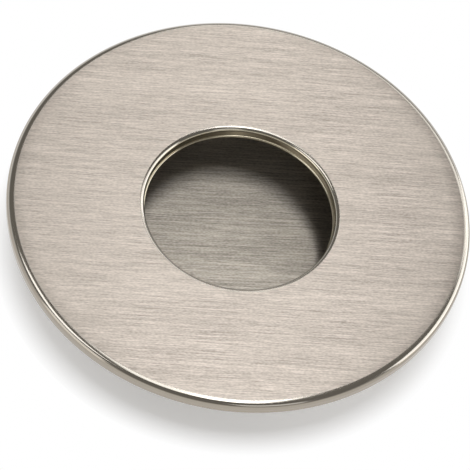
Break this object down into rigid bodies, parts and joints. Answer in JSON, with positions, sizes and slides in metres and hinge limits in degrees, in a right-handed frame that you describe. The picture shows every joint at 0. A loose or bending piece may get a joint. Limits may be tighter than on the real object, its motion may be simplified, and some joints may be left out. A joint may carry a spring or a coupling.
{
  "type": "flush pull",
  "caption": "Round flush pull: a flat face plate with a turned-down rim around a finger opening, and a drawn cup behind it that sits in a bored hole in a door.",
  "frame": {"origin": "on the axis, in the plane of the rim's foot, which lies on the door surface", "axes": "+Z out of the door through the face, +X along the brushing, +Y across it"},
  "size_m": [0.09, 0.09, 0.0144],
  "materials": {
    "plate_metal": "warm nickel with straight brushing on the face, smooth on the rim and the collar",
    "cup_metal": "warm nickel with straight brushing on the floor, smooth drawn wall"
  },
  "bodies": {
    "root": {"face_plate": "plate_metal", "cup": "cup_metal"}
  },
  "joints": []
}
